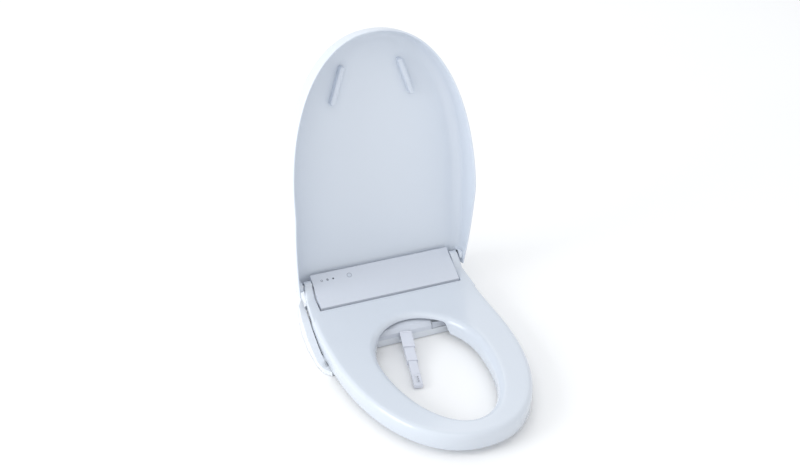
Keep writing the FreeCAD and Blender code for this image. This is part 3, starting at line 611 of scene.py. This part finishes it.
def drum(shape: bmesh.types.BMesh, start: Sequence[float], length: float, radius: float,
         rounding: float = 0.0006) -> list:
    """A cylinder along X with softened rims.

    Args:
        shape: the bmesh to build in.
        start: the middle of its left face, in metres.
        length: how far it runs along X.
        radius: its radius.
        rounding: the rims' rounding.

    Returns:
        The cylinder's vertices.
    """
    before = set(shape.verts)
    made = bmesh.ops.create_cone(shape, cap_ends=True, segments=48, radius1=radius, radius2=radius,
                                 depth=length)["verts"]
    bmesh.ops.rotate(shape, verts=made, cent=(0, 0, 0), matrix=Matrix.Rotation(math.pi / 2, 3, "Y"))
    bmesh.ops.translate(shape, verts=made, vec=Vector(start) + Vector((length / 2, 0, 0)))
    rims = [edge for edge in {e for v in made for e in v.link_edges}
            if abs(edge.verts[0].co.x - edge.verts[1].co.x) < 1e-7]
    bmesh.ops.bevel(shape, geom=rims, offset=rounding, segments=2, profile=0.5, affect="EDGES", material=-1)
    return [vertex for vertex in shape.verts if vertex not in before]


def eased(share: float) -> float:
    """A smooth step from zero to one."""
    held = min(1.0, max(0.0, share))
    return held * held * (3.0 - 2.0 * held)


def refined(node_name: str, radius: float, segments: int = 2, shortest: float = 6.0,
            held: bool = False) -> bpy.types.Object:
    """A merged copy of a frame node with its hard edges rounded, for moulded parts.

    Args:
        node_name: the frame's node.
        radius: the rounding of its edges, in metres.
        segments: steps in the rounding.
        shortest: edges shorter than this many radii stay sharp.
        held: keep every rounding inside its neighbours.

    Returns:
        The new piece, which stands for the node.
    """
    shape = bmesh.new()
    shape.from_mesh(frame["nodes"][node_name].data)
    bmesh.ops.remove_doubles(shape, verts=shape.verts, dist=2e-6)
    bmesh.ops.dissolve_limit(shape, angle_limit=math.radians(0.6), verts=shape.verts, edges=shape.edges)
    hard = [edge for edge in shape.edges if len(edge.link_faces) == 2
            and edge.calc_face_angle(0.0) > HARD_EDGE and edge.calc_length() > shortest * radius]
    bmesh.ops.bevel(shape, geom=hard, offset=radius, segments=segments, profile=0.5, affect="EDGES",
                    material=-1, clamp_overlap=held)
    bmesh.ops.triangulate(shape, faces=[face for face in shape.faces if len(face.verts) > 4])
    piece = to_piece(shape, node_name + "_skin", 30.0, turned=False)
    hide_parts(node_name)
    return piece


@dataclass(frozen=True)
class Outline:
    """A plan outline in millimetres: a superellipse front and sides that slowly narrow to the rear."""

    half: float
    mid_y: float
    front_y: float
    power: float
    rear_half: float
    rear_y: float
    rear_power: float

    def side(self, y: float, inset: float = 0.0) -> float:
        """Half the width at a place behind the widest point."""
        share = max(0.0, (y - self.mid_y) / (self.rear_y - self.mid_y))
        return self.half - inset - (self.half - self.rear_half) * share ** self.rear_power

    def front(self, turn: float, inset: float = 0.0) -> tuple[float, float]:
        """A point of the front.

        Args:
            turn: 0 at the right side, pi at the left side.
            inset: distance in from the outline.

        Returns:
            Its X and Y.
        """
        across, ahead = math.cos(turn), math.sin(turn)
        x = math.copysign(abs(across) ** (2 / self.power), across) * (self.half - inset)
        reach = self.front_y + inset - self.mid_y
        return x, self.mid_y + reach * abs(ahead) ** (2 / self.power)

    def path(self, inset: float, start_y: float, sides: int, fronts: int) -> list[tuple[float, float]]:
        """Points from the right rear, round the front, to the left rear.

        Args:
            inset: distance in from the outline.
            start_y: where the sides begin.
            sides: steps along each side.
            fronts: steps round the front.

        Returns:
            Pairs of X and Y.
        """
        right = []
        for step in range(sides):
            y = start_y + (self.mid_y - start_y) * step / sides
            right.append((self.side(y, inset), y))
        turns = [math.pi * step / fronts for step in range(fronts + 1)]
        ahead = [self.front(turn, inset) for turn in turns]
        left = [(-x, y) for x, y in reversed(right)]
        return right + ahead + left


class Anchor(Enum):
    """What a point of the lid's wall is measured from."""

    PANEL = "panel"
    RIM = "rim"


# ---------------------------------------------------------------- lid


@dataclass
class Lid:
    """The open lid: a skirted shell with a flat inner panel, two hinge arms and two buffers."""

    outline: Outline = Outline(168.0, -188.6, -483.0, 2.2, 159.5, -24.0, 2.2)
    wall: float = 3.0
    rounding: float = 21.0
    panel_z: float = 53.2
    slope: float = 4.58
    rim_z: float = 11.9
    rim_y: float = -186.7
    rim_rise: float = 0.307
    hinge_y: float = -40.4
    hinge_z: float = 71.0
    opened: float = 101.64
    arm_low: float = 151.6
    arm_high: float = 158.4
    buffer_x: float = 62.0
    buffer_y: float = -392.0
    buffer_turn: float = 19.0
    buffer_size: tuple[float, float, float] = (9.0, 60.0, 12.0)

    def panel_height(self, y: float) -> float:
        """Height of the inner panel while the lid is shut."""
        return self.panel_z + (y - self.outline.front_y) * math.tan(math.radians(self.slope))

    def rim_height(self, y: float) -> float:
        """Height of the skirt's rim while the lid is shut: level in front, rising to the rear."""
        past = y - self.rim_y
        return self.rim_z + self.rim_rise * 0.5 * (past + math.hypot(past, 8.0))

    def section(self) -> list[tuple[float, Anchor, float]]:
        """The wall's cross-section from the inner panel, round the rim, to the outer face."""
        inner = self.rounding - self.wall
        lip = self.wall / 2
        rows = []
        for step in range(9):
            turn = math.pi / 2 * step / 8
            inset = self.wall + inner * (1 - math.sin(turn))
            rows.append((inset, Anchor.PANEL, -inner * (1 - math.cos(turn))))
        for step in range(7):
            turn = math.pi * step / 6
            rows.append((lip + lip * math.cos(turn), Anchor.RIM, lip - lip * math.sin(turn)))
        for step in range(11):
            turn = math.pi / 2 * step / 10
            inset = self.rounding * (1 - math.cos(turn))
            rows.append((inset, Anchor.PANEL, self.wall - self.rounding * (1 - math.sin(turn))))
        return rows

    def swing(self) -> Matrix:
        """The turn about the hinge that opens the lid."""
        pivot = Vector((0, self.hinge_y, self.hinge_z)) * MM
        turn = Matrix.Rotation(math.radians(-self.opened), 4, "X")
        return Matrix.Translation(pivot) @ turn @ Matrix.Translation(-pivot)

    def shell(self) -> bpy.types.Object:
        """Build the shell with its hinge arms."""
        shape = bmesh.new()
        base = {Anchor.PANEL: self.panel_height, Anchor.RIM: self.rim_height}
        columns = []
        for inset, anchor, rise in self.section():
            path = self.outline.path(inset, self.outline.rear_y, 14, 96)
            columns.append([Vector((x, y, base[anchor](y) + rise)) * MM for x, y in path])
        rows = [list(points) for points in zip(*columns)]
        grid = sweep(shape, rows)
        cap(shape, [row[0] for row in grid], 0.006)
        cap(shape, [row[-1] for row in reversed(grid)], 0.006)
        shape.faces.new(grid[0] + grid[-1][::-1])
        for side in (-1, 1):
            low, high = sorted((side * self.arm_low, side * self.arm_high))
            drum(shape, (low * MM, self.hinge_y * MM, self.hinge_z * MM), (high - low) * MM, 0.009)
            top = self.panel_height(self.hinge_y) + 1.0
            slab(shape, (low * MM, (self.hinge_y - 9) * MM, (self.hinge_z - 1) * MM),
                 (high * MM, (self.hinge_y + 9) * MM, top * MM), 0.0008)
        shape.transform(self.swing())
        piece = to_piece(shape, "lid_shell_skin", 40.0)
        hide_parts("lid_shell")
        return piece

    def buffer(self, side: int) -> bpy.types.Object:
        """Build one rounded buffer bar on the inner panel.

        Args:
            side: -1 for the left bar, 1 for the right one.

        Returns:
            The bar.
        """
        wide, long, tall = self.buffer_size
        shape = bmesh.new()
        ring = bmesh.ops.create_circle(shape, cap_ends=True, segments=40, radius=wide / 2 * MM)["verts"]
        ahead = [vertex for vertex in ring if vertex.co.y < -1e-9]
        behind = [vertex for vertex in ring if vertex.co.y > 1e-9]
        bmesh.ops.translate(shape, verts=ahead, vec=(0, -long / 2 * MM, 0))
        bmesh.ops.translate(shape, verts=behind, vec=(0, long / 2 * MM, 0))
        grown = bmesh.ops.extrude_face_region(shape, geom=list(shape.faces))["geom"]
        top = [item for item in grown if isinstance(item, bmesh.types.BMVert)]
        bmesh.ops.translate(shape, verts=top, vec=(0, 0, -tall * MM))
        rim = [edge for edge in shape.edges if all(vertex in top for vertex in edge.verts)]
        bmesh.ops.bevel(shape, geom=rim, offset=0.0028, segments=5, profile=0.5, affect="EDGES",
                        material=-1, clamp_overlap=True)
        lie = Matrix.Rotation(math.radians(self.slope), 4, "X")
        turn = Matrix.Rotation(math.radians(-side * self.buffer_turn), 4, "Z")
        spot = Vector((side * self.buffer_x, self.buffer_y, self.panel_height(self.buffer_y))) * MM
        shape.transform(self.swing() @ Matrix.Translation(spot) @ lie @ turn)
        name = "lid_buffer_" + ("left" if side < 0 else "right")
        piece = to_piece(shape, name + "_bar", 50.0)
        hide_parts(name)
        return piece

    def build(self, rack: "FinishRack") -> list[bpy.types.Object]:
        """Build and dress the lid's pieces.

        Args:
            rack: the finishes.

        Returns:
            The shell and the two buffers.
        """
        shell = self.shell()
        rack.dress(shell, "lid_plastic")
        bars = [self.buffer(side) for side in (-1, 1)]
        for bar in bars:
            rack.dress(bar, "buffer_rubber")
        for piece in (shell, *bars):
            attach(piece, "lid")
        return [shell, *bars]


# ---------------------------------------------------------------- seat


@dataclass
class Seat:
    """The seat: a rounded ring that ramps up at the rear, with two arms to the hinge."""

    outline: Outline = Outline(158.7, -201.8, -475.75, 2.2, 147.8, -34.0, 2.19)
    top_z: float = 41.5
    bottom_z: float = 13.0
    wall: float = 3.4
    rounding: float = 8.5
    back_y: float = -92.0
    back_top: float = 49.6
    ramp_y: float = -172.0
    raised_z: float = 33.5
    raised_y: float = -180.0
    raised_half: float = 138.0
    opening: tuple[float, float, float, float] = (89.3, -262.4, -434.5, -150.0)
    opening_round: float = 12.0
    corner: float = 7.0
    around: int = 192
    ear_inner: float = 134.7
    hinge_y: float = -40.4
    hinge_z: float = 71.0

    def top_height(self, y: float) -> float:
        """Height of the top: level in front, then a gentle ramp to the rear."""
        share = max(0.0, (y - self.ramp_y) / (self.back_y - self.ramp_y))
        return self.top_z + (self.back_top - self.top_z) * share ** 2

    def low_height(self, x: float, y: float) -> float:
        """Height of the lower edge, which steps up over the wash unit.

        Args:
            x: place across the seat.
            y: place along the seat.

        Returns:
            The height, in millimetres.
        """
        across = eased((self.raised_half + 2 - abs(x)) / 4)
        ahead = eased((y - self.raised_y + 12) / 12)
        return self.bottom_z + (self.raised_z - self.bottom_z) * across * ahead

    def roll_depth(self, x: float, y: float) -> float:
        """How far the opening's rolled edge drops at a place, less where the lower edge is raised."""
        return min(self.opening_round, self.top_height(y) - self.low_height(x, y) - 0.6)

    def even(self, path: list[tuple[float, float]]) -> list[tuple[float, float]]:
        """Spread a fixed number of points evenly along a closed path.

        Args:
            path: the path's points; the last joins the first.

        Returns:
            As many evenly spaced points as the ring has columns.
        """
        closed = path + path[:1]
        reach = [0.0]
        for a, b in zip(closed, closed[1:]):
            reach.append(reach[-1] + math.hypot(b[0] - a[0], b[1] - a[1]))
        spread, at = [], 0
        for step in range(self.around):
            goal = reach[-1] * step / self.around
            while reach[at + 1] < goal:
                at += 1
            share = (goal - reach[at]) / max(1e-9, reach[at + 1] - reach[at])
            a, b = closed[at], closed[at + 1]
            spread.append((a[0] + (b[0] - a[0]) * share, a[1] + (b[1] - a[1]) * share))
        return spread

    def outer_path(self, inset: float) -> list[tuple[float, float]]:
        """The outer edge from the middle of the back, clockwise from above.

        Args:
            inset: distance in from the outline.

        Returns:
            Evenly spaced pairs of X and Y.
        """
        back = self.back_y - min(inset, 1.0)
        radius = self.corner
        centre_y = back - radius
        centre_x = self.outline.side(centre_y, inset) - radius
        corner = [(centre_x + radius * math.sin(turn), centre_y + radius * math.cos(turn))
                  for turn in (math.pi / 2 * step / 8 for step in range(9))]
        rest = [(x, y) for x, y in self.outline.path(inset, centre_y, 40, 200) if y < centre_y - 0.01]
        left = [(-x, y) for x, y in reversed(corner)]
        return self.even([(0.0, back)] + corner + rest + left)

    def opening_path(self, grow: float) -> list[tuple[float, float]]:
        """The opening's edge from the middle of its rear, the same way round.

        Args:
            grow: how much larger than the opening.

        Returns:
            Evenly spaced pairs of X and Y.
        """
        half, middle, front, rear = self.opening
        points = []
        for step in range(480):
            turn = 2 * math.pi * step / 480
            major = (rear - middle if math.cos(turn) > 0 else middle - front) + grow
            points.append(((half + grow) * math.sin(turn), middle + major * math.cos(turn)))
        return self.even(points)

    def ring(self, shape: bmesh.types.BMesh) -> None:
        """Sweep the ring's outer skin, from the outer lower edge over the top to the opening's lower edge.

        Args:
            shape: the bmesh to build in.
        """
        rows = []
        outer = self.outer_path(0.0)
        rows.append([Vector((x, y, self.low_height(x, y))) for x, y in outer])
        for step in range(8):
            turn = math.pi / 2 * step / 7
            path = self.outer_path(self.rounding * (1 - math.cos(turn)))
            drop = self.rounding * (1 - math.sin(turn))
            rows.append([Vector((x, y, self.top_height(y) - drop)) for x, y in path])
        inside = self.outer_path(self.rounding)
        crease = self.opening_path(self.opening_round)
        edge = self.opening_path(0.0)
        for step in range(1, 8):
            share = step / 8
            path = [(a[0] + (b[0] - a[0]) * share, a[1] + (b[1] - a[1]) * share)
                    for a, b in zip(inside, crease)]
            rows.append([Vector((x, y, self.top_height(y))) for x, y in path])
        for step in range(9):
            turn = math.pi / 2 * step / 8
            path = self.opening_path(self.opening_round * (1 - math.sin(turn)))
            share = 1 - math.cos(turn)
            rows.append([Vector((x, y, self.top_height(y) - share * self.roll_depth(*end)))
                         for (x, y), end in zip(path, edge)])
        rows.append([Vector((x, y, self.low_height(x, y))) for x, y in edge])
        sweep(shape, [[point * MM for point in row] for row in rows], closed=True)

    def arm(self, shape: bmesh.types.BMesh, side: int) -> None:
        """Add one arm and its knuckle.

        Args:
            shape: the bmesh to build in.
            side: -1 for the left arm, 1 for the right one.
        """
        profile = [(-112, 36), (-112, 45.2), (self.back_y, self.back_top - 0.2), (-64, 56),
                   (self.hinge_y - 6.5, self.hinge_z + 5), (self.hinge_y + 7, self.hinge_z - 4.5),
                   (-60, 44), (-80, 36)]
        before = set(shape.verts)
        start = side * self.ear_inner
        face = shape.faces.new([shape.verts.new(Vector((start, y, z)) * MM) for y, z in profile])
        grown = bmesh.ops.extrude_face_region(shape, geom=[face])["geom"]
        for vertex in grown:
            if isinstance(vertex, bmesh.types.BMVert):
                vertex.co.x = side * (self.outline.side(vertex.co.y / MM) - 0.3) * MM
        fresh = [vertex for vertex in shape.verts if vertex not in before]
        edges = list({edge for vertex in fresh for edge in vertex.link_edges})
        bmesh.ops.bevel(shape, geom=edges, offset=0.0026, segments=4, profile=0.5, affect="EDGES",
                        material=-1, clamp_overlap=True)
        low = min(start, side * 148.0)
        drum(shape, (low * MM, self.hinge_y * MM, self.hinge_z * MM), 13.3 * MM, 0.0084, 0.001)

    def build(self, rack: "FinishRack") -> list[bpy.types.Object]:
        """Build and dress the seat's upper shell.

        Args:
            rack: the finishes.

        Returns:
            The skin, and the arms.
        """
        shape = bmesh.new()
        self.ring(shape)
        skin = to_piece(shape, "seat_top_skin", 45.0)
        add_modifier(skin, "SOLIDIFY", thickness=self.wall * MM, offset=-1.0)
        add_modifier(skin, "BEVEL", width=0.0008, segments=2, limit_method="ANGLE",
                     angle_limit=math.radians(50))
        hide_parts("seat_top_shell")
        shape = bmesh.new()
        for side in (-1, 1):
            self.arm(shape, side)
        arms = to_piece(shape, "seat_hinge_arms", 45.0)
        for piece in (skin, arms):
            rack.dress(piece, "seat_plastic")
            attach(piece, "seat")
        return [skin, arms]


# ---------------------------------------------------------------- wash unit


@dataclass(frozen=True)
class Refinement:
    """How one frame node becomes a moulded piece: its rounding, finish and body."""

    node: str
    radius: float
    finish: str
    body: str
    segments: int = 2
    shortest: float = 6.0
    held: bool = False

    def make(self, rack: "FinishRack") -> bpy.types.Object:
        """Build, dress and place the piece.

        Args:
            rack: the finishes.

        Returns:
            The piece.
        """
        piece = refined(self.node, self.radius, self.segments, self.shortest, self.held)
        rack.dress(piece, self.finish)
        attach(piece, self.body)
        return piece


@dataclass
class WashUnit:
    """The rear unit: its side housing and the small moulded pieces set in its shells."""

    pieces: tuple[Refinement, ...] = (
        Refinement("side_housing", 0.0014, "case_plastic", "unit", 3, 40.0),
        Refinement("release_button", 0.0008, "grey_plastic", "release"),
        Refinement("drain_knob", 0.0006, "grey_plastic", "drain"),
        Refinement("deodorizer_cartridge", 0.0008, "case_plastic", "cartridge"),
        Refinement("dryer_flap", 0.0003, "cover_plastic", "air_flap"),
    )

    def build(self, rack: "FinishRack") -> list[bpy.types.Object]:
        """Build and dress the unit's visible pieces."""
        return [plan.make(rack) for plan in self.pieces]


@dataclass
class Wand:
    """The telescoping spray wand with its guard."""

    pieces: tuple[Refinement, ...] = (
        Refinement("wand_outer_stage", 0.0011, "wand_plastic", "wand_outer", 3),
        Refinement("wand_inner_stage", 0.0011, "wand_plastic", "wand_inner", 3),
        Refinement("nozzle_tip", 0.0010, "wand_plastic", "wand_inner", 3),
        Refinement("nozzle_guard", 0.0007, "wand_plastic", "guard", 3),
    )
    port: tuple[float, float, float] = (-6.0, -165.0, 14.5)
    turn: float = -13.3
    dip: float = 3.56
    # Place, spacing, radius and thickness of the black painted-shade discs in the three jet holes, in
    # millimetres.
    jet_first: tuple[float, float, float] = (1.5, -126.0, 3.65)
    jet_step: float = 5.0
    jet_radius: float = 1.02
    jet_deep: float = 0.6

    def place(self) -> Matrix:
        """The wand's own frame: Y points back into the unit, and the origin is at the port."""
        at = Matrix.Translation(Vector(self.port) * MM)
        yaw = Matrix.Rotation(math.radians(self.turn), 4, "Z")
        return at @ yaw @ Matrix.Rotation(math.radians(self.dip), 4, "X")

    def jet_shade_discs(self) -> bpy.types.Object:
        """Three black discs set just below the top face of the tip: painted shade for the dark insides of the
        three jet holes.
        """
        shape = bmesh.new()
        for index in range(3):
            made = bmesh.ops.create_cone(shape, cap_ends=True, segments=24, radius1=self.jet_radius * MM,
                                         radius2=self.jet_radius * MM, depth=self.jet_deep * MM)["verts"]
            step = Vector((0, self.jet_step * index, 0))
            bmesh.ops.translate(shape, verts=made, vec=(Vector(self.jet_first) + step) * MM)
        rims = [edge for edge in shape.edges if edge.calc_face_angle(0.0) > HARD_EDGE]
        bmesh.ops.bevel(shape, geom=rims, offset=0.00012, segments=2, profile=0.5, affect="EDGES",
                        material=-1)
        shape.transform(self.place())
        return to_piece(shape, "nozzle_jet_shade", 40.0)

    def build(self, rack: "FinishRack") -> list[bpy.types.Object]:
        """Build and dress the wand's pieces.

        Args:
            rack: the finishes.

        Returns:
            The stages, tip, guard and the black discs of painted shade in the jet holes.
        """
        jet_shade_discs = self.jet_shade_discs()
        # The jet discs are painted shade: black plastic put where the insides of the jet holes are only in
        # shade.
        rack.dress(jet_shade_discs, "black_plastic")
        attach(jet_shade_discs, "wand_inner")
        return [plan.make(rack) for plan in self.pieces] + [jet_shade_discs]


# ---------------------------------------------------------------- studio


@dataclass
class Studio:
    """Pale floor, soft lights and the camera."""

    target: tuple[float, float, float] = (-0.0227, -0.1728, 0.2220)
    distance: float = 1.8432
    azimuth: float = -23.4
    elevation: float = 31.2
    roll: float = 0.02
    lens: float = 50.65

    def floor(self) -> None:
        """A wide floor just under the lowest point."""
        mesh = bpy.data.meshes.new("studio_floor")
        shape = bmesh.new()
        bmesh.ops.create_grid(shape, x_segments=2, y_segments=2, size=14.0)
        bmesh.ops.translate(shape, verts=shape.verts, vec=(0.0, 0.0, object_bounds()[0][2] - 0.0005))
        shape.to_mesh(mesh)
        shape.free()
        plane = bpy.data.objects.new("studio_floor", mesh)
        bpy.context.scene.collection.objects.link(plane)
        recipe = Recipe("floor_white")
        cloud = recipe.noise(1.5, 2.0)
        recipe.feed("Base Color", recipe.blend(cloud, (0.93, 0.93, 0.935), (0.95, 0.95, 0.95)))
        recipe.feed("Roughness", 0.85)
        recipe.feed("Specular IOR Level", 0.1)
        mesh.materials.append(recipe.material)
        plane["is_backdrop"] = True

    def lamp(self, name: str, place: Sequence[float], size: float, power: float, colour: Colour) -> None:
        """One soft square light that looks at the object.

        Args:
            name: the light's name.
            place: where it stands.
            size: its side.
            power: watts.
            colour: its tint.
        """
        data = bpy.data.lights.new(name, "AREA")
        data.shape = "SQUARE"
        data.size = size
        data.energy = power
        data.color = colour
        lamp = bpy.data.objects.new(name, data)
        bpy.context.scene.collection.objects.link(lamp)
        direction = Vector(place) - Vector((0.0, -0.15, 0.15))
        lamp.matrix_world = Matrix.Translation(place) @ direction.to_track_quat("Z", "Y").to_matrix().to_4x4()

    def lights(self) -> None:
        """The soft set: a bright sky, a key from above and in front, and a strip on the left."""
        world = bpy.data.worlds.new("soft_sky")
        world.use_nodes = True
        world.node_tree.nodes["Background"].inputs["Color"].default_value = (0.97, 0.985, 1.0, 1.0)
        world.node_tree.nodes["Background"].inputs["Strength"].default_value = 0.93
        bpy.context.scene.world = world
        self.lamp("key_light", (-0.9, -1.2, 2.8), 2.4, 9.0, (1.0, 1.0, 1.0))
        self.lamp("left_light", (-2.4, -0.25, 1.1), 1.3, 30.0, (0.96, 0.985, 1.0))
        self.lamp("back_light", (0.6, 2.2, 2.4), 1.6, 9.0, (1.0, 1.0, 1.0))

    def camera(self) -> None:
        """The camera at the given angle, distance and roll."""
        turn, rise = math.radians(self.azimuth), math.radians(self.elevation)
        back = Vector((math.sin(turn) * math.cos(rise), -math.cos(turn) * math.cos(rise), math.sin(rise)))
        right = Vector((0.0, 0.0, 1.0)).cross(back).normalized()
        above = back.cross(right)
        rolled = right * math.cos(self.roll) + above * math.sin(self.roll)
        upward = above * math.cos(self.roll) - right * math.sin(self.roll)
        data = bpy.data.cameras.new("studio_camera")
        data.sensor_width = 36.0
        data.lens = self.lens
        data.clip_start = 0.05
        data.clip_end = 60.0
        camera = bpy.data.objects.new("studio_camera", data)
        bpy.context.scene.collection.objects.link(camera)
        spot = Vector(self.target) + back * self.distance
        facing = Matrix((rolled, upward, back)).transposed().to_4x4()
        camera.matrix_world = Matrix.Translation(spot) @ facing
        bpy.context.scene.camera = camera
        bpy.context.scene.view_settings.view_transform = "Standard"


def main() -> None:
    """Dress the frame, build each sub-assembly in order and set the stage."""
    logging.basicConfig(level=logging.INFO, format="%(name)s: %(message)s")
    rack = FinishRack()
    rack.dress_frame()
    for assembly in (Lid(), Seat(), WashUnit(), Wand()):
        for piece in assembly.build(rack):
            log.info("built %s", piece.name)
    studio = Studio()
    studio.floor()
    studio.lights()
    studio.camera()


if __name__ == "__main__":
    main()
